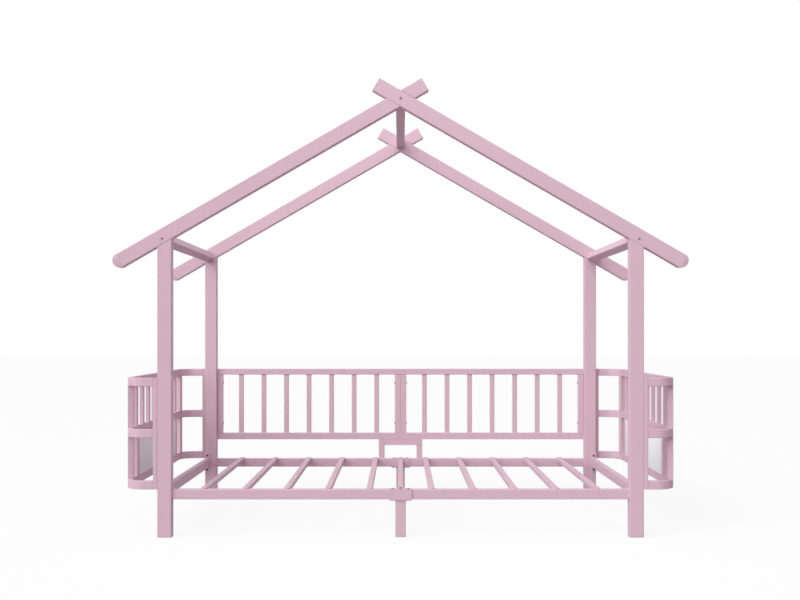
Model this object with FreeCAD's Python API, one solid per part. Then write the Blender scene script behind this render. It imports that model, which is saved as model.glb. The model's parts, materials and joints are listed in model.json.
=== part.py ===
"""House frame bed: a steel tube bed whose four posts carry two crossed-rafter gables.

Millimetres. +X runs along the bed, +Y to the back, where the guard is, and +Z up.
The origin is on the floor under the middle of the frame. Left is -X, front is -Y.
Every tube is hollow, and each one that ends in the open is closed by a cap or a foot.
"""
import FreeCAD, Part
import math
import os

from FreeCAD import Rotation, Vector

# Posts and rafters share one rectangular tube.
FRAME_DEPTH = 1070.0        # front of the front gable to back of the rear gable
POST_SPACING = 1976.0       # between the centre lines of the left and right posts
MAIN_WIDE = 60.0            # tube size seen from the front
MAIN_DEEP = 40.0            # tube size along Y
MAIN_WALL = 1.2
MAIN_CORNER = 3.5

# Roof.
ROOF_PITCH = 30.0           # degrees
RIDGE_Z = 1837.5            # where the centre lines of two rafters cross
TIP_LENGTH = 118.5          # crossing to the upper end, cap included
EAVE_LENGTH = 1356.7        # crossing to the seam of the lower cap
TIP_CAP = 4.0
BEAM_SIZE = 40.0            # square tube of the ridge and eave beams
BEAM_WALL = 1.2
BEAM_CORNER = 3.0
BEAM_PLATE = 3.0            # plate welded inside each end of a beam
EAVE_BEAM_X = 997.5
INSERT_FOOT_Z = 1150.0      # lower end of the tube inserts in the post tops
INSERT_WALL = 1.5
FIT_GAP = 0.5               # play between an insert and the tube around it

# Feet.
FOOT_HEIGHT = 3.0
PLUG_LENGTH = 20.0          # how far a cap or a foot reaches into its tube

# Side rails, each in two halves that meet in a saddle on the middle leg.
RAIL_DEEP = 30.0
RAIL_BOTTOM = 158.0
RAIL_TOP = 200.0
RAIL_WALL = 1.0
RAIL_CORNER = 3.0
FRONT_RAIL_Y = -510.0       # centre lines
REAR_RAIL_Y = 520.0
RAIL_GAP = 6.0              # from the middle of the bed to the end of a rail half
STUB_LENGTH = 50.0          # insert between a post and its rail
SADDLE_LENGTH = 94.0
SADDLE_WALL = 4.5
SADDLE_BASE = 4.5
LEG_WIDE = 44.0
LEG_DEEP = 30.0
LEG_WALL = 1.2

# End rails between the front and rear posts, with plates bolted to the posts.
END_RAIL_WIDE = 25.0
END_RAIL_BOTTOM = 158.0
END_RAIL_TOP = 203.0
END_PLATE = 3.0
END_PLATE_BOTTOM = 131.0
END_PLATE_TOP = 231.0

# Crossbar over the middle legs.
CROSSBAR_SIZE = 25.0
CROSSBAR_TOP = 194.0
TAB_THICK = 3.0
TAB_LENGTH = 26.0           # how far its tab reaches over the rails

# Slats.
SLAT_COUNT = 10
SLAT_WIDE = 25.0
SLAT_TALL = 20.0
SLAT_TOP = 205.0
FIRST_SLAT_X = 130.5        # centre line of the slats nearest to the middle
SLAT_PITCH = 174.3
SLAT_WALL = 0.8
SLAT_CORNER = 2.5
SLAT_FLANGE = 2.5           # cap thickness between a slat and its rail
HOOK_LENGTH = 22.0          # how far a cap's hook lies on the rail
HOOK_CORNER = 8.0

# Back guard: two welded panels between the rear posts, on a support.
GUARD_BOTTOM = 300.0
GUARD_TOP = 668.0
GUARD_DEEP = 20.0
GUARD_FRAME = 30.0          # width of its stiles and height of its top rail
GUARD_LOWER_RAIL = 33.5     # height of its bottom rail
BALUSTER_COUNT = 7
BALUSTER_WIDE = 25.0
BALUSTER_DEEP = 10.0
BALUSTER_PITCH = 118.0
SUPPORT_HALF = 113.5        # middle of the bed to the outer side of the support
BAR_WALL = 0.8
BAR_CORNER = 2.5

# Storage bays outside the posts, each three U-shaped rings with uprights.
BAY_REACH = 1160.0          # middle of the bed to a bay's outer face
RING_THICK = 20.0
RING_TALL = 36.0
RING_BOTTOMS = (201.0, 416.5, 632.0)
RING_RADIUS = 75.0          # of the bends' centre line
RING_CORNER = 3.0
END_STILE_WIDE = 18.0
CORNER_BAR_ANGLE = 12.0     # degrees round the bend from the straight side
CORNER_BAR = 25.0           # its outer face is flush with the ring's
CORNER_STRIP = 6.0          # strip welded into its ends, where they reach inside the ring
SIDE_BAR_THICK = 18.0       # along X
SIDE_BAR_WIDE = 20.0        # along Y
SIDE_BAR_COUNT = 8
SIDE_BAR_REACH = 370.0      # centre of the outermost side bars, along Y
PANEL_STILE_THICK = 20.0
PANEL_STILE_WIDE = 28.0
PANEL_STILE_FACE = 1138.0   # inner face of the panel stiles, along X
PANEL_HALF = 352.0          # half the length of the white panel
PANEL_THICK = 4.0
PANEL_INSET = 1.0           # panel face behind the face of its stiles

# Button-head bolts and their cap nuts, and the bays' flush bolts.
BOLT_RADIUS = 3.0
HOLE_RADIUS = 3.2
HEAD_RADIUS = 5.25
HEAD_HEIGHT = 2.6
CONE_DEPTH = 2.25           # of the flush heads
HEAD_EDGE = 0.9             # height of a button head's straight edge, under its dome
DOME_BULGE = 0.28           # how far the dome's arc stands out from its chord
CROWN_RADIUS = 3.15         # of the flat top
SOCKET_ACROSS = 4.0
SOCKET_DEPTH = 2.0
SOCKET_SIDES = 6
BLIND_LENGTH = 14.0         # shank of a bolt that ends inside a tube
BOLT_END = 7.0              # shank beyond what a longer bolt holds together
GUARD_BOLT_HEIGHTS = (383.0, 595.0)
END_BOLT_HEIGHTS = (144.0, 217.5)
POST_TOP_BOLT_Z = 1185.0
RAIL_BOLT_X = 935.0
RAIL_BOLT_Z = 179.0
SADDLE_BOLT_X = 33.0
SADDLE_BOLT_OUT = 4.0       # offset of the saddle bolts from the rail's centre line
TAB_BOLT_IN = 5.0           # offset of the tab's bolt the other way

# Worked out from the above.
SIDES = {"left": -1, "right": 1}
FRAMES = {"front": -1, "rear": 1}
RAIL_Y = {"front": FRONT_RAIL_Y, "rear": REAR_RAIL_Y}
GABLE_Y = (FRAME_DEPTH - MAIN_DEEP) / 2
FRAME_IN = FRAME_DEPTH / 2 - MAIN_DEEP
FRAME_OUT = FRAME_DEPTH / 2
POST_IN = (POST_SPACING - MAIN_WIDE) / 2
POST_OUT = (POST_SPACING + MAIN_WIDE) / 2
SLOPE = math.tan(math.radians(ROOF_PITCH))
POST_BLANK_TOP = RIDGE_Z - SLOPE * POST_IN  # above the slope that the post tops are cut to
RAIL_FRONT_IN = FRONT_RAIL_Y + RAIL_DEEP / 2
RAIL_REAR_IN = REAR_RAIL_Y - RAIL_DEEP / 2
SADDLE_DEEP = RAIL_DEEP + 2 * (SADDLE_WALL + FIT_GAP)
SADDLE_FLOOR = RAIL_BOTTOM - FIT_GAP
SADDLE_BOTTOM = SADDLE_FLOOR - SADDLE_BASE
TAB_TOP = RAIL_TOP + TAB_THICK
GUARD_Y = FRAME_OUT - GUARD_DEEP / 2
GUARD_INNER = (GUARD_BOTTOM + GUARD_LOWER_RAIL, GUARD_TOP - GUARD_FRAME)  # heights between its rails
RING_X = BAY_REACH - RING_THICK / 2
RING_Y = FRAME_OUT - RING_THICK / 2
BEND_X = RING_X - RING_RADIUS
BEND_Y = RING_Y - RING_RADIUS
STILE_OUT = POST_OUT + END_STILE_WIDE
CROSSBAR_BOTTOM = CROSSBAR_TOP - CROSSBAR_SIZE
OVERCUT = 5.0               # how far a cutter reaches past what it cuts
AXES = {"x": Vector(1, 0, 0), "y": Vector(0, 1, 0), "z": Vector(0, 0, 1)}


# --- Shapes that several parts share ------------------------------------------

def span(a, b):
    """Return the range between two coordinates, lower one first."""
    return min(a, b), max(a, b)


def about(centre, size):
    """Return the range of a given size about a centre."""
    return centre - size / 2, centre + size / 2


def bar(x, y, z, run, corner=0.0):
    """Solid block filling three ranges, with its edges along run rounded."""
    size = (x[1] - x[0], y[1] - y[0], z[1] - z[0])
    block = Part.makeBox(*size, Vector(x[0], y[0], z[0]))
    if corner <= 0:
        return block
    edges = [edge for edge in block.Edges
             if edge.tangentAt(edge.FirstParameter).cross(AXES[run]).Length < 0.01]
    return block.makeFillet(corner, edges)


def tube(x, y, z, run, wall, corner):
    """Tube open at both ends, filling the same ranges as a bar."""
    inside = []
    for axis, (low, high) in zip("xyz", (x, y, z)):
        grow = OVERCUT if axis == run else -wall
        inside.append((low - grow, high + grow))
    return bar(x, y, z, run, corner).cut(bar(*inside, run, corner - wall))


def turned(shape, angle, axis, centre=Vector(0, 0, 0)):
    """Copy of a shape turned about an axis through a centre."""
    copy = shape.copy()
    copy.rotate(centre, AXES[axis], angle)
    return copy


def moved(shape, x=0.0, y=0.0, z=0.0):
    """Copy of a shape moved to another place."""
    copy = shape.copy()
    copy.translate(Vector(x, y, z))
    return copy


def mirrored_x(shape):
    """Mirror image of a shape on the other side of the bed's middle."""
    return shape.mirror(Vector(0, 0, 0), AXES["x"])


def joined(shapes):
    """One solid from pieces that are welded or moulded together."""
    return shapes[0].fuse(shapes[1:]).removeSplitter()


# --- Bolts ----------------------------------------------------------------------

def socket(face):
    """Hexagonal cutter for the socket of a head that faces -Z at z = face."""
    corner = Part.Vertex(Vector(SOCKET_ACROSS / math.sqrt(3), 0, face - OVERCUT))
    corners = [turned(corner, 360 / SOCKET_SIDES * step, "z").Point for step in range(SOCKET_SIDES + 1)]
    return Part.Face(Part.makePolygon(corners)).extrude(Vector(0, 0, OVERCUT + SOCKET_DEPTH))


def button_head():
    """Domed head on the plane z = 0, with its socket, facing -Z."""
    shoulder = Vector(HEAD_RADIUS, 0, -HEAD_EDGE)
    crown_edge = Vector(CROWN_RADIUS, 0, -HEAD_HEIGHT)
    crown = Vector(0, 0, -HEAD_HEIGHT)
    outward = (crown_edge - shoulder).cross(AXES["y"]).normalize()
    dome = Part.Arc(shoulder, (shoulder + crown_edge) * 0.5 + outward * DOME_BULGE, crown_edge)
    outline = Part.Wire([
        Part.makeLine(Vector(0, 0, 0), Vector(HEAD_RADIUS, 0, 0)),
        Part.makeLine(Vector(HEAD_RADIUS, 0, 0), shoulder),
        dome.toShape(),
        Part.makeLine(crown_edge, crown),
        Part.makeLine(crown, Vector(0, 0, 0)),
    ])
    head = Part.Face(outline).revolve(Vector(0, 0, 0), AXES["z"], 360)
    return head.cut(socket(-HEAD_HEIGHT))


def button_bolt(length):
    """Bolt with its head outside the plane z = 0 and its shank along +Z."""
    return joined([button_head(), Part.makeCylinder(BOLT_RADIUS, length)])


def flush_bolt(length):
    """Bolt with a conical head under the plane z = 0 and its shank along +Z."""
    head = Part.makeCone(HEAD_RADIUS, BOLT_RADIUS, CONE_DEPTH)
    return joined([head, Part.makeCylinder(BOLT_RADIUS, length)]).cut(socket(0))


def cap_nut():
    """Low domed nut with its seat on z = 0, facing -Z, around the end of a shank."""
    return button_head().cut(Part.makeCylinder(BOLT_RADIUS, HEAD_EDGE, Vector(0, 0, -HEAD_EDGE)))


def aimed(shape, head, direction):
    """Put something made along +Z at a point, along a direction."""
    copy = shape.copy()
    copy.Placement = FreeCAD.Placement(head, Rotation(AXES["z"], direction))
    return copy


def bolt_place(head, direction, length=BLIND_LENGTH, kind="button"):
    """Describe a bolt, which ends in a thread inside its tube unless its kind is nutted."""
    return {"head": head, "direction": direction, "length": length, "kind": kind}


def roof_bolt_places():
    """Bolts of the beams, through both gables, and of the inserts in the post tops."""
    places = []
    length = MAIN_DEEP + BEAM_PLATE + BOLT_END
    for frame in FRAMES.values():
        inward = Vector(0, -frame, 0)
        for x, z in ((0, RIDGE_Z), (-EAVE_BEAM_X, eave_beam_z()), (EAVE_BEAM_X, eave_beam_z())):
            places.append(bolt_place(Vector(x, frame * FRAME_OUT, z), inward, length))
        for side in SIDES.values():
            head = Vector(side * POST_OUT, frame * GABLE_Y, POST_TOP_BOLT_Z)
            places.append(bolt_place(head, Vector(-side, 0, 0)))
    return places


def end_rail_bolt_places():
    """Two bolts through each end plate into its post."""
    places = []
    for side in SIDES.values():
        for frame in FRAMES.values():
            for z in END_BOLT_HEIGHTS:
                head = Vector(side * (POST_OUT - END_RAIL_WIDE / 2), frame * (FRAME_IN - END_PLATE), z)
                places.append(bolt_place(head, Vector(0, frame, 0)))
    return places


def side_rail_bolt_places():
    """Bolts down into each saddle, and into the back of the rails at the posts."""
    places = []
    for name, frame in FRAMES.items():
        rail_y = RAIL_Y[name]
        down = Vector(0, 0, -1)
        tab_head = Vector(0, rail_y - frame * TAB_BOLT_IN, TAB_TOP)
        places.append(bolt_place(tab_head, down, TAB_TOP - SADDLE_BOTTOM))
        for side in SIDES.values():
            saddle_head = Vector(side * SADDLE_BOLT_X, rail_y + frame * SADDLE_BOLT_OUT, RAIL_TOP)
            places.append(bolt_place(saddle_head, down, RAIL_TOP - SADDLE_BOTTOM))
            rail_head = Vector(side * RAIL_BOLT_X, rail_y + RAIL_DEEP / 2, RAIL_BOLT_Z)
            places.append(bolt_place(rail_head, Vector(0, -1, 0)))
    return places


def guard_bolt_places():
    """Bolts of the guard, and of the bays' end stiles at the same heights."""
    places = []
    for z in GUARD_BOLT_HEIGHTS:
        middle_head = Vector(-GUARD_FRAME, GUARD_Y, z)
        places.append(bolt_place(middle_head, AXES["x"], 2 * GUARD_FRAME, "nutted"))
        for side in SIDES.values():
            guard_head = Vector(side * (POST_IN - GUARD_FRAME), GUARD_Y, z)
            places.append(bolt_place(guard_head, Vector(side, 0, 0), GUARD_FRAME + BOLT_END))
            for frame in FRAMES.values():
                bay_head = Vector(side * STILE_OUT, frame * RING_Y, z)
                places.append(bolt_place(bay_head, Vector(-side, 0, 0), END_STILE_WIDE + BOLT_END, "flush"))
    return places


def fasteners(places):
    """The bolts and cap nuts of one group, as separate solids."""
    solids = []
    for place in places:
        make = flush_bolt if place["kind"] == "flush" else button_bolt
        solids.append(aimed(make(place["length"]), place["head"], place["direction"]))
        if place["kind"] == "nutted":
            far = place["head"] + place["direction"] * place["length"]
            solids.append(aimed(cap_nut(), far, place["direction"] * -1))
    return solids


def drilled(shape, places):
    """Cut the clearance holes of the bolts that pass through a shape."""
    play = HOLE_RADIUS - BOLT_RADIUS
    for place in places:
        hole = Part.makeCylinder(HOLE_RADIUS, place["length"] + OVERCUT)
        if place["kind"] == "flush":
            hole = hole.fuse(Part.makeCone(HEAD_RADIUS + play, HOLE_RADIUS, CONE_DEPTH))
        hole = aimed(hole, place["head"], place["direction"])
        if shape.BoundBox.intersect(hole.BoundBox):
            shape = shape.cut(hole)
    return shape


# --- Gables: posts, rafters and beams ----------------------------------------------

def eave_beam_z():
    """Height of an eave beam, whose lower face is flush with the rafters' lower edges."""
    drop = (MAIN_WIDE - BEAM_SIZE) / 2 / math.cos(math.radians(ROOF_PITCH))
    return RIDGE_Z - SLOPE * EAVE_BEAM_X - drop


def sloped(shape, side, frame):
    """Put something made along +X at the origin on a rafter's centre line."""
    angle = ROOF_PITCH if side > 0 else 180 - ROOF_PITCH
    return moved(turned(shape, angle, "y"), y=frame * GABLE_Y, z=RIDGE_Z)


def roof_cutter(side, frame):
    """Block over a rafter's lower edge, which trims what stands under the rafter."""
    reach = 2 * MAIN_WIDE
    upward = (-MAIN_WIDE / 2, reach) if side > 0 else (-reach, MAIN_WIDE / 2)
    block = bar((0, EAVE_LENGTH), about(0, 2 * MAIN_DEEP), upward, "x")
    return sloped(block, side, frame)


def rafter(side, frame):
    """Rafter that falls to one side, halved where it crosses the other one.

    Seen from outside its gable, the rafter that falls to the right runs through.
    """
    tip = TIP_LENGTH - TIP_CAP
    shape = tube((-tip, EAVE_LENGTH), about(0, MAIN_DEEP), about(0, MAIN_WIDE), "x",
                 MAIN_WALL, MAIN_CORNER)
    outermost = side * frame < 0
    lap = (0, MAIN_DEEP) if (frame < 0) == outermost else (-MAIN_DEEP, 0)
    crossing = bar(about(0, 4 * MAIN_WIDE), lap, about(0, MAIN_WIDE), "x")
    return sloped(shape, side, frame).cut(sloped(crossing, -side, frame))


def rafter_tip_cap(side, frame):
    """Flat cap with a plug, on a rafter's upper end."""
    seam = TIP_CAP - TIP_LENGTH
    flange = bar((-TIP_LENGTH, seam), about(0, MAIN_DEEP), about(0, MAIN_WIDE), "x", MAIN_CORNER)
    return sloped(joined([flange, rafter_plug((seam, seam + PLUG_LENGTH))]), side, frame)


def rafter_eave_cap(side, frame):
    """Half-round cap with a plug, on a rafter's lower end."""
    turn = Part.makeCylinder(MAIN_WIDE / 2, MAIN_DEEP, Vector(EAVE_LENGTH, -MAIN_DEEP / 2, 0), AXES["y"])
    outer_half = bar((EAVE_LENGTH, EAVE_LENGTH + MAIN_WIDE), about(0, 2 * MAIN_DEEP),
                     about(0, 2 * MAIN_WIDE), "x")
    plug = rafter_plug((EAVE_LENGTH - PLUG_LENGTH, EAVE_LENGTH))
    return sloped(joined([turn.common(outer_half), plug]), side, frame)


def rafter_plug(x):
    """Plug that fills a rafter's inside over a range of its length."""
    return bar(x, about(0, MAIN_DEEP - 2 * MAIN_WALL), about(0, MAIN_WIDE - 2 * MAIN_WALL), "x",
               MAIN_CORNER - MAIN_WALL)


def post(side, frame):
    """Post from its foot to the lower edge of its rafter."""
    column = tube(about(side * POST_SPACING / 2, MAIN_WIDE), about(frame * GABLE_Y, MAIN_DEEP),
                  (FOOT_HEIGHT, POST_BLANK_TOP), "z", MAIN_WALL, MAIN_CORNER)
    return column.cut(roof_cutter(side, frame))


def post_insert(side, frame):
    """Tube welded under a rafter, which slides into the post top."""
    inset = 2 * (MAIN_WALL + FIT_GAP)
    shape = tube(about(side * POST_SPACING / 2, MAIN_WIDE - inset),
                 about(frame * GABLE_Y, MAIN_DEEP - inset),
                 (INSERT_FOOT_Z, POST_BLANK_TOP), "z", INSERT_WALL, MAIN_CORNER - MAIN_WALL)
    return shape.cut(roof_cutter(side, frame))


def rail_insert(side, frame_name):
    """Tube welded to a post's inner face, which slides into the side rail."""
    inset = RAIL_WALL + FIT_GAP
    return tube(span(side * POST_IN, side * (POST_IN - STUB_LENGTH)),
                about(RAIL_Y[frame_name], RAIL_DEEP - 2 * inset),
                (RAIL_BOTTOM + inset, RAIL_TOP - inset), "x", INSERT_WALL, RAIL_CORNER - RAIL_WALL)


def roof_beam(x, z, angle):
    """Square beam between the gables, with a welded plate inside each end."""
    y = (-FRAME_IN, FRAME_IN)
    pieces = [tube(about(x, BEAM_SIZE), y, about(z, BEAM_SIZE), "y", BEAM_WALL, BEAM_CORNER)]
    inner = BEAM_SIZE - 2 * BEAM_WALL
    for frame in FRAMES.values():
        plate_y = span(frame * FRAME_IN, frame * (FRAME_IN - BEAM_PLATE))
        pieces.append(bar(about(x, inner), plate_y, about(z, inner), "y", BEAM_CORNER - BEAM_WALL))
    return turned(joined(pieces), angle, "y", Vector(x, 0, z))


def foot(x, y, wide, deep, wall, corner):
    """Foot with a plug that fills the end of the tube above it."""
    pad = bar(about(x, wide), about(y, deep), (0, FOOT_HEIGHT), "z", corner)
    plug = bar(about(x, wide - 2 * wall), about(y, deep - 2 * wall),
               (FOOT_HEIGHT, FOOT_HEIGHT + PLUG_LENGTH), "z", corner - wall)
    return joined([pad, plug])


# --- Base: rails, middle legs, crossbar and slats --------------------------------------

def side_rail(side, frame_name):
    """Half a side rail, from its post into the saddle on the middle leg."""
    return tube(span(side * POST_IN, side * RAIL_GAP), about(RAIL_Y[frame_name], RAIL_DEEP),
                (RAIL_BOTTOM, RAIL_TOP), "x", RAIL_WALL, RAIL_CORNER)


def centre_leg(frame_name):
    """Saddle that holds the rail ends, and the leg that is welded under it."""
    y = RAIL_Y[frame_name]
    block = bar(about(0, SADDLE_LENGTH), about(y, SADDLE_DEEP), (SADDLE_BOTTOM, RAIL_TOP + OVERCUT), "x",
                RAIL_CORNER)
    channel = bar(about(0, 2 * SADDLE_LENGTH), about(y, SADDLE_DEEP - 2 * SADDLE_WALL),
                  (SADDLE_FLOOR, RAIL_TOP + OVERCUT), "x")
    above = bar(about(0, 2 * SADDLE_LENGTH), about(y, 2 * SADDLE_DEEP), (RAIL_TOP, RAIL_TOP + 2 * OVERCUT),
                "x")
    leg = tube(about(0, LEG_WIDE), about(y, LEG_DEEP), (FOOT_HEIGHT, SADDLE_BOTTOM), "z",
               LEG_WALL, RAIL_CORNER)
    return [block.cut(channel).cut(above), leg]


def end_rail(side):
    """Rail between a front and a rear post, with a bolting plate at each end."""
    x = span(side * POST_OUT, side * (POST_OUT - END_RAIL_WIDE))
    reach = FRAME_IN - END_PLATE
    pieces = [tube(x, (-reach, reach), (END_RAIL_BOTTOM, END_RAIL_TOP), "y", RAIL_WALL, RAIL_CORNER)]
    for frame in FRAMES.values():
        y = span(frame * FRAME_IN, frame * reach)
        pieces.append(bar(x, y, (END_PLATE_BOTTOM, END_PLATE_TOP), "y", RAIL_CORNER))
    return pieces


def crossbar():
    """Bar between the two saddles, hung on the rail ends by a bent tab at each end."""
    front = RAIL_FRONT_IN + SADDLE_WALL + FIT_GAP
    rear = RAIL_REAR_IN - SADDLE_WALL - FIT_GAP
    wide = about(0, CROSSBAR_SIZE)
    pieces = [tube(wide, (front + TAB_THICK, rear - TAB_THICK), (CROSSBAR_BOTTOM, CROSSBAR_TOP), "y",
                   RAIL_WALL, RAIL_CORNER)]
    for face, frame in ((front, -1), (rear, 1)):
        upright = bar(wide, span(face, face - frame * TAB_THICK), (CROSSBAR_BOTTOM, TAB_TOP), "y")
        tab = bar(wide, span(face, face + frame * TAB_LENGTH), (RAIL_TOP, TAB_TOP), "y")
        pieces.append(joined([upright, tab]))
    return pieces


def slat_centres():
    """Places of the slats along the bed, from left to right."""
    half = [FIRST_SLAT_X + SLAT_PITCH * k for k in range(SLAT_COUNT // 2)]
    return [-x for x in reversed(half)] + half


def slat(x):
    """Tube between the caps that rest on the two side rails."""
    y = (RAIL_FRONT_IN + SLAT_FLANGE, RAIL_REAR_IN - SLAT_FLANGE)
    return tube(about(x, SLAT_WIDE), y, (SLAT_TOP - SLAT_TALL, SLAT_TOP), "y", SLAT_WALL, SLAT_CORNER)


def slat_cap(x, rail_face, frame):
    """Cap of a slat: a flange against the rail, a plug, and a hook on top of the rail."""
    z = (SLAT_TOP - SLAT_TALL, SLAT_TOP)
    seam = rail_face - frame * SLAT_FLANGE
    flange = bar(about(x, SLAT_WIDE), span(rail_face, seam), z, "y", SLAT_CORNER)
    plug = bar(about(x, SLAT_WIDE - 2 * SLAT_WALL), span(seam, seam - frame * PLUG_LENGTH),
               (z[0] + SLAT_WALL, z[1] - SLAT_WALL), "y", SLAT_CORNER - SLAT_WALL)
    block = bar(about(x, SLAT_WIDE), span(rail_face - HOOK_LENGTH, rail_face + HOOK_LENGTH),
                (RAIL_TOP, SLAT_TOP), "z", HOOK_CORNER)
    beyond_face = bar(about(x, 2 * SLAT_WIDE), span(rail_face, rail_face + frame * 2 * HOOK_LENGTH),
                      (RAIL_TOP, SLAT_TOP), "z")
    return joined([flange, plug, block.common(beyond_face)])


# --- Back guard ----------------------------------------------------------------------

def guard_rails(side):
    """Top and bottom rail of one panel, from the middle of the bed to its post."""
    return [tube(span(0, side * POST_IN), about(GUARD_Y, GUARD_DEEP), z, "x", BAR_WALL, BAR_CORNER)
            for z in ((GUARD_BOTTOM, GUARD_INNER[0]), (GUARD_INNER[1], GUARD_TOP))]


def guard_stiles(side):
    """Stiles between the two rails, at the middle of the bed and at the post."""
    return [tube(x, about(GUARD_Y, GUARD_DEEP), GUARD_INNER, "z", BAR_WALL, BAR_CORNER)
            for x in (span(0, side * GUARD_FRAME), span(side * (POST_IN - GUARD_FRAME), side * POST_IN))]


def guard_balusters(side):
    """Evenly spaced balusters of one panel."""
    first = side * POST_IN / 2 - BALUSTER_PITCH * (BALUSTER_COUNT - 1) / 2
    return [tube(about(first + BALUSTER_PITCH * k, BALUSTER_WIDE), about(GUARD_Y, BALUSTER_DEEP),
                 GUARD_INNER, "z", BAR_WALL, BAR_CORNER)
            for k in range(BALUSTER_COUNT)]


def guard_support():
    """Bar and two legs that carry the middle of the guard on the rear rail."""
    y = about(GUARD_Y, GUARD_DEEP)
    under = GUARD_BOTTOM - GUARD_FRAME
    pieces = [tube((-SUPPORT_HALF, SUPPORT_HALF), y, (under, GUARD_BOTTOM), "x", BAR_WALL, BAR_CORNER)]
    for side in SIDES.values():
        x = span(side * SUPPORT_HALF, side * (SUPPORT_HALF - GUARD_FRAME))
        pieces.append(tube(x, y, (RAIL_TOP, under), "z", BAR_WALL, BAR_CORNER))
    return pieces


# --- Storage bays, modelled on the right and mirrored to the left -----------------------

def ring_spine():
    """Centre line of a ring, from the front end stile round two bends to the rear one."""
    diagonal = RING_RADIUS * math.sqrt(0.5)
    bend_in = Vector(BEND_X + diagonal, -BEND_Y - diagonal, 0)
    bend_out = Vector(BEND_X + diagonal, BEND_Y + diagonal, 0)
    return Part.Wire([
        Part.makeLine(Vector(STILE_OUT, -RING_Y, 0), Vector(BEND_X, -RING_Y, 0)),
        Part.Arc(Vector(BEND_X, -RING_Y, 0), bend_in, Vector(RING_X, -BEND_Y, 0)).toShape(),
        Part.makeLine(Vector(RING_X, -BEND_Y, 0), Vector(RING_X, BEND_Y, 0)),
        Part.Arc(Vector(RING_X, BEND_Y, 0), bend_out, Vector(BEND_X, RING_Y, 0)).toShape(),
        Part.makeLine(Vector(BEND_X, RING_Y, 0), Vector(STILE_OUT, RING_Y, 0)),
    ])


def ring_sweep(thick, tall, corner):
    """Solid swept along a ring's centre line."""
    section = bar(about(STILE_OUT, 1), about(-RING_Y, thick), about(0, tall), "x", corner)
    end_face = min(section.Faces, key=lambda face: face.CenterOfMass.x)
    outline = moved(end_face.OuterWire, x=STILE_OUT - end_face.CenterOfMass.x)
    sweep = Part.BRepOffsetAPI.MakePipeShell(ring_spine())
    sweep.setBiNormalMode(AXES["z"])
    sweep.add(outline)
    sweep.build()
    sweep.makeSolid()
    return sweep.shape()


def ring():
    """One U-shaped tube, centred on the plane z = 0."""
    outside = ring_sweep(RING_THICK, RING_TALL, RING_CORNER)
    inside = ring_sweep(RING_THICK - 2 * BAR_WALL, RING_TALL - 2 * BAR_WALL, RING_CORNER - BAR_WALL)
    return outside.cut(inside)


def end_stiles():
    """Uprights beside the front and rear post, which the rings are welded to."""
    z = (RING_BOTTOMS[0], RING_BOTTOMS[-1] + RING_TALL)
    return [tube((POST_OUT, STILE_OUT), about(frame * RING_Y, RING_THICK), z, "z", BAR_WALL, BAR_CORNER)
            for frame in FRAMES.values()]


def corner_bar(z):
    """Square upright on a bend, before it is turned, closed where it reaches inside the ring."""
    outer = BEND_X + RING_RADIUS + RING_THICK / 2
    inner = outer - CORNER_BAR
    pieces = [tube((inner, outer), about(0, CORNER_BAR), z, "z", BAR_WALL, BAR_CORNER)]
    strip_x = (inner + BAR_WALL, inner + BAR_WALL + CORNER_STRIP)
    for end in ((z[0], z[0] + BAR_WALL), (z[1] - BAR_WALL, z[1])):
        pieces.append(bar(strip_x, about(0, CORNER_BAR - 2 * BAR_WALL), end, "x"))
    return joined(pieces)


def corner_bars(z):
    """Uprights on the two bends, turned to follow them."""
    bars = []
    for frame in FRAMES.values():
        upright = turned(corner_bar(z), frame * CORNER_BAR_ANGLE, "z", Vector(BEND_X, 0, 0))
        bars.append(moved(upright, y=frame * BEND_Y))
    return bars


def side_bars(z):
    """Evenly spaced uprights of the upper tier."""
    pitch = 2 * SIDE_BAR_REACH / (SIDE_BAR_COUNT - 1)
    return [tube(about(RING_X, SIDE_BAR_THICK), about(pitch * k - SIDE_BAR_REACH, SIDE_BAR_WIDE), z, "z",
                 BAR_WALL, BAR_CORNER)
            for k in range(SIDE_BAR_COUNT)]


def panel_stiles(z):
    """Uprights at the two ends of the white panel."""
    x = (PANEL_STILE_FACE, PANEL_STILE_FACE + PANEL_STILE_THICK)
    return [tube(x, span(frame * PANEL_HALF, frame * (PANEL_HALF + PANEL_STILE_WIDE)), z, "z",
                 BAR_WALL, BAR_CORNER)
            for frame in FRAMES.values()]


def panel(z):
    """White panel that closes the lower tier between its stiles."""
    face = PANEL_STILE_FACE + PANEL_INSET
    return bar((face, face + PANEL_THICK), (-PANEL_HALF, PANEL_HALF), z, "z")


def bay():
    """All parts of the right-hand bay by name."""
    lower_tier = (RING_BOTTOMS[0] + RING_TALL, RING_BOTTOMS[1])
    upper_tier = (RING_BOTTOMS[1] + RING_TALL, RING_BOTTOMS[2])
    parts = {}
    for name, bottom in zip(("bottom", "middle", "top"), RING_BOTTOMS):
        parts[f"ring_{name}"] = [moved(ring(), z=bottom + RING_TALL / 2)]
    parts["end_stiles"] = end_stiles()
    parts["upper_bars"] = corner_bars(upper_tier) + side_bars(upper_tier)
    parts["lower_bars"] = corner_bars(lower_tier) + panel_stiles(lower_tier)
    parts["panel"] = [panel(lower_tier)]
    return parts


# --- The whole bed ----------------------------------------------------------------------

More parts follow.
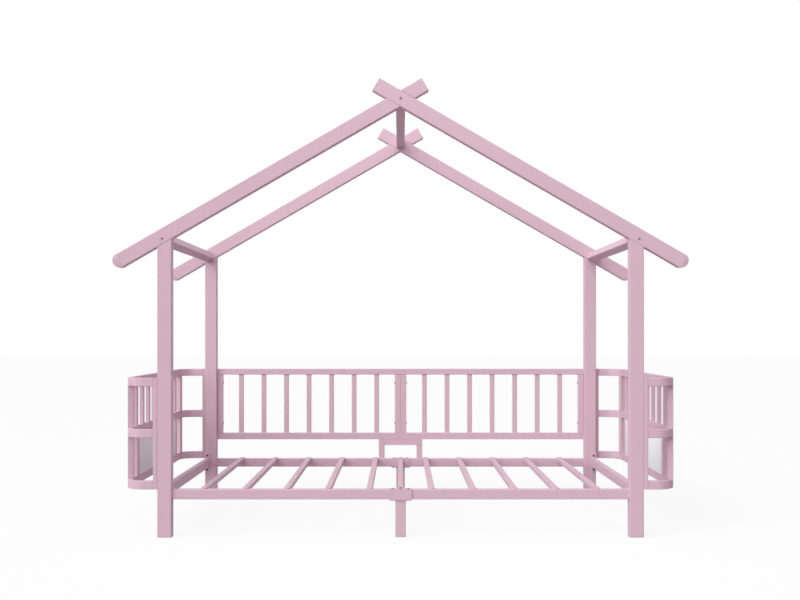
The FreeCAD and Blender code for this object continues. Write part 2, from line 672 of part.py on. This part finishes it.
def bed():
    """Every node of the bed, as a list of solids under its name."""
    nodes = {}
    corners = [(side, frame) for side in SIDES.values() for frame in FRAMES.values()]
    for frame_name, frame in FRAMES.items():
        for side_name, side in SIDES.items():
            nodes[f"post_{frame_name}_{side_name}"] = [post(side, frame)]
            nodes[f"rafter_{frame_name}_{side_name}"] = [rafter(side, frame)]
            nodes[f"side_rail_{frame_name}_{side_name}"] = [side_rail(side, frame_name)]
        nodes[f"centre_leg_{frame_name}"] = centre_leg(frame_name)
    nodes["rafter_tip_caps"] = [rafter_tip_cap(*corner) for corner in corners]
    nodes["rafter_eave_caps"] = [rafter_eave_cap(*corner) for corner in corners]
    nodes["tube_inserts"] = [post_insert(*corner) for corner in corners]
    for side in SIDES.values():
        nodes["tube_inserts"] += [rail_insert(side, frame_name) for frame_name in FRAMES]
    nodes["ridge_beam"] = [roof_beam(0, RIDGE_Z, 0)]
    for side_name, side in SIDES.items():
        nodes[f"eave_beam_{side_name}"] = [roof_beam(side * EAVE_BEAM_X, eave_beam_z(), side * ROOF_PITCH)]
        nodes[f"end_rail_{side_name}"] = end_rail(side)
    nodes["feet"] = [foot(side * POST_SPACING / 2, frame * GABLE_Y, MAIN_WIDE, MAIN_DEEP, MAIN_WALL,
                          MAIN_CORNER) for side, frame in corners]
    nodes["feet"] += [foot(0, y, LEG_WIDE, LEG_DEEP, LEG_WALL, RAIL_CORNER) for y in RAIL_Y.values()]
    nodes["crossbar"] = crossbar()
    for number, x in enumerate(slat_centres(), start=1):
        nodes[f"slat_{number:02d}"] = [slat(x)]
    nodes["slat_caps"] = [slat_cap(x, RAIL_FRONT_IN, -1) for x in slat_centres()]
    nodes["slat_caps"] += [slat_cap(x, RAIL_REAR_IN, 1) for x in slat_centres()]
    for side_name, side in SIDES.items():
        nodes[f"guard_rails_{side_name}"] = guard_rails(side)
        nodes[f"guard_stiles_{side_name}"] = guard_stiles(side)
        nodes[f"guard_balusters_{side_name}"] = guard_balusters(side)
    nodes["guard_support"] = guard_support()
    for part_name, solids in bay().items():
        nodes[f"bay_right_{part_name}"] = solids
        nodes[f"bay_left_{part_name}"] = [mirrored_x(solid) for solid in solids]
    return nodes


def main():
    """Drill the parts for their bolts, add the bolts and write one file per node."""
    groups = {
        "roof_bolts": roof_bolt_places(),
        "end_rail_bolts": end_rail_bolt_places(),
        "side_rail_bolts": side_rail_bolt_places(),
        "guard_and_bay_bolts": guard_bolt_places(),
    }
    nodes = bed()
    every_place = sum(groups.values(), [])
    for name, solids in nodes.items():
        nodes[name] = [drilled(solid, every_place) for solid in solids]
    for name, places in groups.items():
        nodes[name] = fasteners(places)
    os.makedirs("parts", exist_ok=True)
    for name, solids in nodes.items():
        shape = Part.makeCompound([solid for piece in solids for solid in piece.Solids])
        valid = shape.isValid() and all(solid.isClosed() for solid in shape.Solids)
        print(f"{name}: {len(shape.Solids)} solids, {shape.Volume / 1000:.0f} cm3, valid {valid}")
        shape.exportStep(f"parts/{name}.step")
    print(f"{len(nodes)} nodes")


main()
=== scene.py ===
"""Looks of the house frame bed: paint, plastics, board, bolts, weld beads and softened edges.

Metres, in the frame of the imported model: +X along the bed, +Y to the back, +Z up.
"""

import json
import math

import bmesh
import bpy
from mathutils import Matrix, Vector


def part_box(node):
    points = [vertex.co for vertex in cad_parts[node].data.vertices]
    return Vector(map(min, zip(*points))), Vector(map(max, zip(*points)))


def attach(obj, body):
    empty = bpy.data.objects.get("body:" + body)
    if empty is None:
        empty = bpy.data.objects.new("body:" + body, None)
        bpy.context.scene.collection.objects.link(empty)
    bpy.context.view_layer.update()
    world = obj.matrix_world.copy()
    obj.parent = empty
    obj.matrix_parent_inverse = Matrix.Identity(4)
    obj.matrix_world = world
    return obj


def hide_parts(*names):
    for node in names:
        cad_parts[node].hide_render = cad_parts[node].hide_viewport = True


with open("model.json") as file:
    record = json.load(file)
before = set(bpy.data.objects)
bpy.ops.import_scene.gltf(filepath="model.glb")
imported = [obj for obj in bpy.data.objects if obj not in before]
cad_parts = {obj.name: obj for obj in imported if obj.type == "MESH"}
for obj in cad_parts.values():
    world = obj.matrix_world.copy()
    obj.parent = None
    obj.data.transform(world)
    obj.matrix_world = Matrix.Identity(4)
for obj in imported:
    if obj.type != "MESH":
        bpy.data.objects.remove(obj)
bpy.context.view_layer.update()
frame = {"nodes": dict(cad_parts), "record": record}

MM = 0.001
SIDES = (-1, 1)             # left, right

# Colours, linear.
PINK = (0.665, 0.472, 0.543)
PLASTIC_PINK = (0.640, 0.460, 0.528)
FOOT_PINK = (0.550, 0.410, 0.470)
BOLT_PINK = (0.360, 0.247, 0.287)
BOLT_DARK = (0.045, 0.028, 0.034)
BOARD_WHITE = (0.875, 0.910, 0.900)
STUDIO_FLOOR = (0.370, 0.285, 0.325)    # as the bed sees it, with the pink that it throws down

# Coats.
NOISE_RANGE = (0.3, 0.7)    # what most of a noise lies in
COAT_SPECULAR = 0.1
ROUGHNESS_FINER = 12        # its patches are this much finer than the colour's
PATCH_DETAIL = 4.0

# Camera: level, in front of the bed, as the photograph was framed.
CAMERA_PLACE = (0.0, -4.734, 0.8562)
FRAME_WIDTH = 800           # pixels
FOCAL_PIXELS = 1004.5
SENSOR = 36.0               # mm
CENTRE_RIGHT = 0.55         # pixels from the middle of the frame to the optical axis
CENTRE_DOWN = 32.8

# Studio. A lamp's direction points from the bed towards it.
SURROUND_TINT = (1, 0.935, 0.965)
SURROUND_STRENGTH = 0.45
SUN_SPREAD = math.radians(60)
KEY_STRENGTH = 2.35
KEY_TINT = (0.95, 1, 0.985)
KEY_FROM = (-0.66, -0.56, 0.50)
FILL_STRENGTH = 0.30
FILL_FROM = (0.10, -0.85, 0.50)
OVERHEAD_POWER = 24.0
OVERHEAD_SIZE = 2.4
OVERHEAD_FROM = (0, -0.3, 1)
OVERHEAD_PLACE = (0, -0.8, 3.4)
FLOOR_HALF = 30.0
FLOOR_DROP = 0.5 * MM
FLOOR_SEEN = 0.12           # part of the floor's white that is lit, and so shows the shadow
FLOOR_LIFT = 0.87           # part that is not

# Weld beads.
BEAD_LEG = 2.2 * MM
BEAD_STEP = 0.8 * MM
BEAD_SAMPLES_PER_RIPPLE = 3
BEAD_RIPPLE = 0.12
BEAD_TAPER = 2.0 * MM
BEAD_END = 0.25             # share of its size at its two ends
BEAD_INSET = 3.0 * MM       # from an edge of the bar to the end of its bead
BEAD_INSET_SMALL = 2.5 * MM  # on the guard
BEAD_SECTION = ((1.0, -0.2), (0.74, 0.40), (0.40, 0.74), (-0.2, 1.0), (-0.2, -0.2))

# Smoothing and softened edges.
WELD_SHARP = math.radians(80)
SOFT_SHARP = math.radians(50)
BEVEL_FROM = math.radians(40)
FLAT_WITHIN = math.radians(1)
MERGE_WITHIN = 0.002 * MM
SOFTENED = {
    "rafter_tip_caps": 0.8 * MM,
    "rafter_eave_caps": 0.8 * MM,
    "feet": 0.8 * MM,
    "slat_caps": 0.6 * MM,
    "bay_left_panel": 0.6 * MM,
    "bay_right_panel": 0.6 * MM,
    "roof_bolts": 0.25 * MM,
    "end_rail_bolts": 0.25 * MM,
    "side_rail_bolts": 0.25 * MM,
    "guard_and_bay_bolts": 0.25 * MM,
}

# Shape of the bed where its parts are welded.
POST_IN = 0.958
GUARD_Y = 0.525
GUARD_DEEP = 0.020
GUARD_HEIGHTS = (0.3335, 0.638)     # between the guard's rails
GUARD_FRAME = 0.030
BALUSTER_COUNT = 7
BALUSTER_WIDE = 0.025
SUPPORT_HALF = 0.1135
SUPPORT_UNDER = 0.270
STILE_OUT = 1.036
RING_X = 1.150
RING_Y = 0.525
RING_THICK = 0.020
RING_BOTTOMS = (0.201, 0.4165, 0.632)
RING_TALL = 0.036
BEND_X = 1.075
BEND_Y = 0.450
BEND_RADIUS = 0.075
CORNER_BAR_ANGLE = 12.0
CORNER_BAR = 0.025
SIDE_BAR_COUNT = 8
SIDE_BAR_WIDE = 0.020
SIDE_BAR_REACH = 0.370      # centre of the outermost side bars, along Y
PANEL_STILE_OUT = 0.380     # outer face of the panel's stiles, along Y
SADDLE_BOTTOM = 0.153
LEG_WIDE = 0.044
LEG_Y = (-0.510, 0.520)
LEG_DEEP = 0.030
END_RAIL_X = (0.993, 1.018)
END_RAIL_HEIGHTS = (0.158, 0.203)
END_PLATE_FACE = 0.492
RIDGE_Z = 1.8375
ROOF_PITCH = 30.0
MAIN_WIDE = 0.060
GABLE_Y = 0.515
MAIN_DEEP = 0.040


# --- Materials ------------------------------------------------------------------

def new_material(name):
    """Material with its shader, ready for nodes."""
    material = bpy.data.materials.new(name)
    material.use_nodes = True
    shader = material.node_tree.nodes["Principled BSDF"]
    return material, material.node_tree, shader


def noise(tree, scale, detail=2.0):
    """Noise in object space; scale is in cycles per metre."""
    place = tree.nodes.new("ShaderNodeTexCoord")
    texture = tree.nodes.new("ShaderNodeTexNoise")
    texture.inputs["Scale"].default_value = scale
    texture.inputs["Detail"].default_value = detail
    tree.links.new(place.outputs["Object"], texture.inputs["Vector"])
    return texture.outputs["Fac"]


def spread(tree, value, low, high):
    """Map a noise to a range."""
    ranged = tree.nodes.new("ShaderNodeMapRange")
    ranged.inputs["From Min"].default_value = NOISE_RANGE[0]
    ranged.inputs["From Max"].default_value = NOISE_RANGE[1]
    ranged.inputs["To Min"].default_value = low
    ranged.inputs["To Max"].default_value = high
    tree.links.new(value, ranged.inputs["Value"])
    return ranged.outputs["Result"]


def tinted(tree, value, colour, amount):
    """Colour that varies by a share of itself with a noise."""
    ramp = tree.nodes.new("ShaderNodeValToRGB")
    for stop, position, factor in zip(ramp.color_ramp.elements, NOISE_RANGE, (1 - amount, 1 + amount)):
        stop.position = position
        stop.color = (*[min(c * factor, 1) for c in colour], 1)
    tree.links.new(value, ramp.inputs["Fac"])
    return ramp.outputs["Color"]


def bumped(tree, layers):
    """Normal from several noises, each with its height in metres."""
    normal = None
    for value, height in layers:
        bump = tree.nodes.new("ShaderNodeBump")
        bump.inputs["Strength"].default_value = 1.0
        bump.inputs["Distance"].default_value = height
        tree.links.new(value, bump.inputs["Height"])
        if normal is not None:
            tree.links.new(normal, bump.inputs["Normal"])
        normal = bump.outputs["Normal"]
    return normal


def coated(name, colour, tint, rough, layers, patch_scale=3.0):
    """Opaque coat with patchy colour and roughness and a fine relief.

    tint is the share by which the colour varies, and each layer of the relief has its scale
    in cycles per metre and its height.
    """
    material, tree, shader = new_material(name)
    patches = noise(tree, patch_scale, PATCH_DETAIL)
    tree.links.new(tinted(tree, patches, colour, tint), shader.inputs["Base Color"])
    fine_patches = noise(tree, patch_scale * ROUGHNESS_FINER)
    tree.links.new(spread(tree, fine_patches, *rough), shader.inputs["Roughness"])
    relief = [(noise(tree, scale), height) for scale, height in layers]
    tree.links.new(bumped(tree, relief), shader.inputs["Normal"])
    shader.inputs["Specular IOR Level"].default_value = COAT_SPECULAR
    return material


def paint():
    """Satin powder coat with orange peel and a fine grain."""
    return coated("powder_coat", PINK, tint=0.012, rough=(0.44, 0.54),
                  layers=((420.0, 0.03 * MM), (1500.0, 0.008 * MM)))


def moulded(name, colour, rough):
    """Moulded plastic with a spark-eroded grain."""
    return coated(name, colour, tint=0.01, rough=rough,
                  layers=((2600.0, 0.012 * MM), (180.0, 0.02 * MM)))


def board():
    """White lacquer on fibreboard, with roller stipple."""
    return coated("white_lacquer", BOARD_WHITE, tint=0.008, rough=(0.45, 0.55),
                  layers=((700.0, 0.015 * MM),), patch_scale=6.0)


def enamel():
    """Smooth stoving enamel of the roof bolts."""
    return coated("bolt_enamel", BOLT_PINK, tint=0.02, rough=(0.35, 0.45),
                  layers=((900.0, 0.01 * MM),), patch_scale=60.0)


def dark_steel():
    """Oxide-blackened steel with fine turning marks and rubbed patches."""
    material, tree, shader = new_material("dark_steel")
    rubbed = noise(tree, 900.0, 3.0)
    tree.links.new(tinted(tree, rubbed, BOLT_DARK, 0.35), shader.inputs["Base Color"])
    tree.links.new(spread(tree, noise(tree, 500.0), 0.42, 0.58), shader.inputs["Roughness"])
    shader.inputs["Metallic"].default_value = 0.3
    tree.links.new(bumped(tree, ((noise(tree, 3000.0), 0.01 * MM),)), shader.inputs["Normal"])
    return material


MATERIALS = {
    "pink_paint": paint(),
    "cap_plastic": moulded("cap_plastic", PLASTIC_PINK, rough=(0.42, 0.52)),
    "foot_plastic": moulded("foot_plastic", FOOT_PINK, rough=(0.55, 0.65)),
    "white_board": board(),
    "bolt_steel": dark_steel(),
    "roof_bolt_enamel": enamel(),
}
MATERIALS["slat_cap_plastic"] = MATERIALS["cap_plastic"]
MATERIALS["insert_steel"] = MATERIALS["pink_paint"]


def slot_of(node):
    """Material slot that the record gives a node."""
    for part in frame["record"]["subparts"]:
        if part["node"] == node:
            return part["material_slot"]
    raise ValueError(f"no slot for {node}")


# --- Pieces -----------------------------------------------------------------------

def add_piece(name, bm, slot, sharp_angle):
    """Object from a bmesh, smooth but for its sharp edges, riding on the bed."""
    for face in bm.faces:
        face.smooth = True
    for edge in bm.edges:
        edge.smooth = len(edge.link_faces) == 2 and edge.calc_face_angle(0) < sharp_angle
    mesh = bpy.data.meshes.new(name)
    bm.to_mesh(mesh)
    bm.free()
    piece = bpy.data.objects.new(name, mesh)
    bpy.context.scene.collection.objects.link(piece)
    mesh.materials.append(MATERIALS[slot])
    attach(piece, "root")
    return piece


def softened(node, width):
    """Stand-in for a CAD node, with its sharp edges rounded."""
    bm = bmesh.new()
    bm.from_mesh(frame["nodes"][node].data)
    bmesh.ops.remove_doubles(bm, verts=bm.verts, dist=MERGE_WITHIN)
    bmesh.ops.dissolve_limit(bm, angle_limit=FLAT_WITHIN, verts=bm.verts, edges=bm.edges)
    sharp = [edge for edge in bm.edges
             if len(edge.link_faces) == 2 and edge.calc_face_angle(0) > BEVEL_FROM]
    bmesh.ops.bevel(bm, geom=sharp, offset=width, segments=2, profile=0.5, affect="EDGES",
                    clamp_overlap=True)
    piece = add_piece(f"{node}.soft", bm, slot_of(node), SOFT_SHARP)
    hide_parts(node)
    return piece


def bead(bm, start, end, along_a, along_b):
    """Rippled weld bead in the inner corner between two faces."""
    start, end, along_a, along_b = (Vector(v) for v in (start, end, along_a, along_b))
    length = (end - start).length
    count = max(4, round(length / BEAD_STEP))
    rings = []
    for step in range(count + 1):
        along = step / count
        edge = min(along, 1 - along) * length
        taper = math.sin(min(edge / BEAD_TAPER, 1) * math.pi / 2)
        size = BEAD_LEG * (BEAD_END + (1 - BEAD_END) * taper)
        size *= 1 + BEAD_RIPPLE * math.sin(2 * math.pi * step / BEAD_SAMPLES_PER_RIPPLE)
        centre = start.lerp(end, along)
        rings.append([bm.verts.new(centre + (along_a * a + along_b * b) * size)
                      for a, b in BEAD_SECTION])
    for ring, following in zip(rings, rings[1:]):
        for k in range(len(ring)):
            nxt = (k + 1) % len(ring)
            bm.faces.new((ring[k], ring[nxt], following[nxt], following[k]))
    bm.faces.new(rings[0][::-1])
    bm.faces.new(rings[-1])


def bead_pair(bm, centre, half, out, run, up):
    """Beads on both sides of a bar that stands on a face.

    out points from the bar's middle to one of its sides, run along the bead and up along the bar.
    """
    centre, out, run, up = Vector(centre), Vector(out), Vector(run), Vector(up)
    for way in (-1, 1):
        side = centre + out * way * half[0]
        bead(bm, side - run * half[1], side + run * half[1], out * way, up)


def guard_welds(side):
    """Beads of one guard panel and its half of the support."""
    bm = bmesh.new()
    span = GUARD_DEEP / 2 - BEAD_INSET_SMALL
    low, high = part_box(f"guard_balusters_{side_name(side)}")
    half_deep = (high.y - low.y) / 2
    pitch = (high.x - low.x - BALUSTER_WIDE) / (BALUSTER_COUNT - 1)
    for k in range(BALUSTER_COUNT):
        x = low.x + BALUSTER_WIDE / 2 + pitch * k
        for z, up in zip(GUARD_HEIGHTS, (1, -1)):
            sides = (BALUSTER_WIDE / 2, half_deep - BEAD_INSET_SMALL)
            bead_pair(bm, (x, GUARD_Y, z), sides, (1, 0, 0), (0, 1, 0), (0, 0, up))
            faces = (half_deep, BALUSTER_WIDE / 2 - BEAD_INSET_SMALL)
            bead_pair(bm, (x, GUARD_Y, z), faces, (0, 1, 0), (1, 0, 0), (0, 0, up))
    for z, up in zip(GUARD_HEIGHTS, (1, -1)):
        for x, out in ((side * GUARD_FRAME, side), (side * (POST_IN - GUARD_FRAME), -side)):
            bead(bm, (x, GUARD_Y - span, z), (x, GUARD_Y + span, z), (out, 0, 0), (0, 0, up))
    x = side * (SUPPORT_HALF - GUARD_FRAME)
    start, end = (Vector((x, GUARD_Y + way * span, SUPPORT_UNDER)) for way in (-1, 1))
    bead(bm, start, end, (-side, 0, 0), (0, 0, -1))
    return add_piece(f"welds.guard_{side_name(side)}", bm, "pink_paint", WELD_SHARP)


def side_name(side):
    """Name of a side from its sign."""
    return "left" if side < 0 else "right"


def bay_welds(side):
    """Beads of one bay: uprights on rings, and rings on end stiles."""
    bm = bmesh.new()
    tiers = [(RING_BOTTOMS[k] + RING_TALL, RING_BOTTOMS[k + 1]) for k in (0, 1)]
    flat = RING_THICK / 2 - BEAD_INSET
    for z, up in [(z, up) for tier in tiers for z, up in zip(tier, (1, -1))]:
        for way in (-1, 1):
            angle = math.radians(CORNER_BAR_ANGLE) * way
            out = Vector((side * math.cos(angle), math.sin(angle), 0))
            across = Vector((-out.y, out.x, 0))
            centre = Vector((side * BEND_X, way * BEND_Y, z)) + out * BEND_RADIUS
            bead_pair(bm, centre, (CORNER_BAR / 2, flat), across, out, (0, 0, up))
    for z, up in zip(tiers[1], (1, -1)):
        for k in range(SIDE_BAR_COUNT):
            y = -SIDE_BAR_REACH + k * 2 * SIDE_BAR_REACH / (SIDE_BAR_COUNT - 1)
            half = (SIDE_BAR_WIDE / 2, flat)
            bead_pair(bm, (side * RING_X, y, z), half, (0, 1, 0), (1, 0, 0), (0, 0, up))
    for z, up in zip(tiers[0], (1, -1)):
        for way in (-1, 1):
            y = way * PANEL_STILE_OUT
            x = side * RING_X
            bead(bm, (x - flat, y, z), (x + flat, y, z), (0, way, 0), (0, 0, up))
    joints = [(RING_BOTTOMS[k] + RING_TALL, 1) for k in (0, 1)] + [(RING_BOTTOMS[k], -1) for k in (1, 2)]
    for z, up in joints:
        for way in (-1, 1):
            y = way * RING_Y
            x = side * STILE_OUT
            bead(bm, (x, y - flat, z), (x, y + flat, z), (side, 0, 0), (0, 0, up))
    return add_piece(f"welds.bay_{side_name(side)}", bm, "pink_paint", WELD_SHARP)


def base_welds():
    """Beads of the middle legs under their saddles, and of the end rails on their plates."""
    bm = bmesh.new()
    half = (LEG_WIDE / 2, LEG_DEEP / 2 - BEAD_INSET)
    for y in LEG_Y:
        bead_pair(bm, (0, y, SADDLE_BOTTOM), half, (1, 0, 0), (0, 1, 0), (0, 0, -1))
    for side in SIDES:
        near = side * (END_RAIL_X[0] + BEAD_INSET)
        far = side * (END_RAIL_X[1] - BEAD_INSET)
        for way in (-1, 1):
            y = way * END_PLATE_FACE
            for z, up in zip(END_RAIL_HEIGHTS, (-1, 1)):
                bead(bm, (near, y, z), (far, y, z), (0, -way, 0), (0, 0, up))
    return add_piece("welds.base", bm, "pink_paint", WELD_SHARP)


def roof_welds():
    """Beads in the four corners of each crossing of two rafters."""
    bm = bmesh.new()
    pitch = math.radians(ROOF_PITCH)
    half = MAIN_WIDE / 2
    rise = half / math.cos(pitch)
    run = half / math.sin(pitch)
    down_right = Vector((math.cos(pitch), 0, -math.sin(pitch)))
    down_left = Vector((-math.cos(pitch), 0, -math.sin(pitch)))
    reach = Vector((0, MAIN_DEEP / 2 - BEAD_INSET, 0))
    for way in (-1, 1):
        centre = Vector((0, way * GABLE_Y, RIDGE_Z))
        corners = (
            (Vector((0, 0, rise)), -down_right, -down_left),
            (Vector((0, 0, -rise)), down_right, down_left),
            (Vector((run, 0, 0)), -down_left, down_right),
            (Vector((-run, 0, 0)), -down_right, down_left),
        )
        for offset, along_a, along_b in corners:
            bead(bm, centre + offset - reach, centre + offset + reach, along_a, along_b)
    return add_piece("welds.roof", bm, "pink_paint", WELD_SHARP)


def dress():
    """Give every node its material, and add the pieces that CAD leaves out."""
    for name, node in frame["nodes"].items():
        node.data.materials.clear()
        node.data.materials.append(MATERIALS[slot_of(name)])
    for node, width in SOFTENED.items():
        softened(node, width)
    for side in SIDES:
        guard_welds(side)
        bay_welds(side)
    base_welds()
    roof_welds()


# --- Floor, light and camera --------------------------------------------------------

def floor():
    """Pale floor that the camera sees as white, but for the bed's soft shadow."""
    bm = bmesh.new()
    bmesh.ops.create_grid(bm, x_segments=1, y_segments=1, size=FLOOR_HALF)
    mesh = bpy.data.meshes.new("floor")
    bm.to_mesh(mesh)
    bm.free()
    plane = bpy.data.objects.new("floor", mesh)
    plane.location.z = -FLOOR_DROP
    bpy.context.scene.collection.objects.link(plane)
    material, tree, shader = new_material("floor")
    shader.inputs["Base Color"].default_value = (*STUDIO_FLOOR, 1)
    shader.inputs["Roughness"].default_value = 0.9
    seen = tree.nodes.new("ShaderNodeBsdfDiffuse")
    seen.inputs["Color"].default_value = (FLOOR_SEEN, FLOOR_SEEN, FLOOR_SEEN, 1)
    lift = tree.nodes.new("ShaderNodeEmission")
    lift.inputs["Strength"].default_value = FLOOR_LIFT
    both = tree.nodes.new("ShaderNodeAddShader")
    tree.links.new(seen.outputs[0], both.inputs[0])
    tree.links.new(lift.outputs[0], both.inputs[1])
    tree.links.new(white_to_camera(tree, shader.outputs[0], both.outputs[0]),
                   tree.nodes["Material Output"].inputs["Surface"])
    mesh.materials.append(material)


def white_to_camera(tree, plain, white):
    """Mix two shaders, so that camera, glossy and transmission rays see the second."""
    rays = tree.nodes.new("ShaderNodeLightPath")
    seen = rays.outputs["Is Camera Ray"]
    for name in ("Is Glossy Ray", "Is Transmission Ray"):
        either = tree.nodes.new("ShaderNodeMath")
        either.operation = "MAXIMUM"
        tree.links.new(seen, either.inputs[0])
        tree.links.new(rays.outputs[name], either.inputs[1])
        seen = either.outputs[0]
    mix = tree.nodes.new("ShaderNodeMixShader")
    tree.links.new(seen, mix.inputs[0])
    tree.links.new(plain, mix.inputs[1])
    tree.links.new(white, mix.inputs[2])
    return mix.outputs[0]


def studio():
    """Even surroundings that look white, with soft lamps from the left, the front and above."""
    world = bpy.data.worlds.new("studio")
    world.use_nodes = True
    bpy.context.scene.world = world
    tree = world.node_tree
    plain = tree.nodes["Background"]
    plain.inputs["Color"].default_value = (*SURROUND_TINT, 1)
    plain.inputs["Strength"].default_value = SURROUND_STRENGTH
    white = tree.nodes.new("ShaderNodeBackground")
    white.inputs["Color"].default_value = (1, 1, 1, 1)
    white.inputs["Strength"].default_value = 1.0
    tree.links.new(white_to_camera(tree, plain.outputs[0], white.outputs[0]),
                   tree.nodes["World Output"].inputs["Surface"])

    key = bpy.data.lights.new("key", "SUN")
    key.energy = KEY_STRENGTH
    key.color = KEY_TINT
    key.angle = SUN_SPREAD
    add_lamp(key, KEY_FROM)

    fill = bpy.data.lights.new("fill", "SUN")
    fill.energy = FILL_STRENGTH
    fill.angle = SUN_SPREAD
    add_lamp(fill, FILL_FROM)

    overhead = bpy.data.lights.new("overhead", "AREA")
    overhead.energy = OVERHEAD_POWER
    overhead.size = OVERHEAD_SIZE
    add_lamp(overhead, OVERHEAD_FROM, OVERHEAD_PLACE)


def add_lamp(light, direction, place=(0, 0, 0)):
    """Lamp at a place; the direction points from what it lights towards it."""
    lamp = bpy.data.objects.new(light.name, light)
    lamp.location = place
    lamp.rotation_euler = Vector(direction).to_track_quat("Z", "Y").to_euler()
    bpy.context.scene.collection.objects.link(lamp)


def camera():
    """Camera at the photograph's place."""
    data = bpy.data.cameras.new("camera")
    data.sensor_width = SENSOR
    data.lens = FOCAL_PIXELS * SENSOR / FRAME_WIDTH
    data.shift_x = -CENTRE_RIGHT / FRAME_WIDTH
    data.shift_y = CENTRE_DOWN / FRAME_WIDTH
    data.clip_end = 100
    place = bpy.data.objects.new("camera", data)
    place.location = CAMERA_PLACE
    place.rotation_euler = (math.radians(90), 0, 0)
    bpy.context.scene.collection.objects.link(place)
    bpy.context.scene.camera = place


dress()
floor()
studio()
camera()
bpy.context.scene.view_settings.view_transform = "Standard"
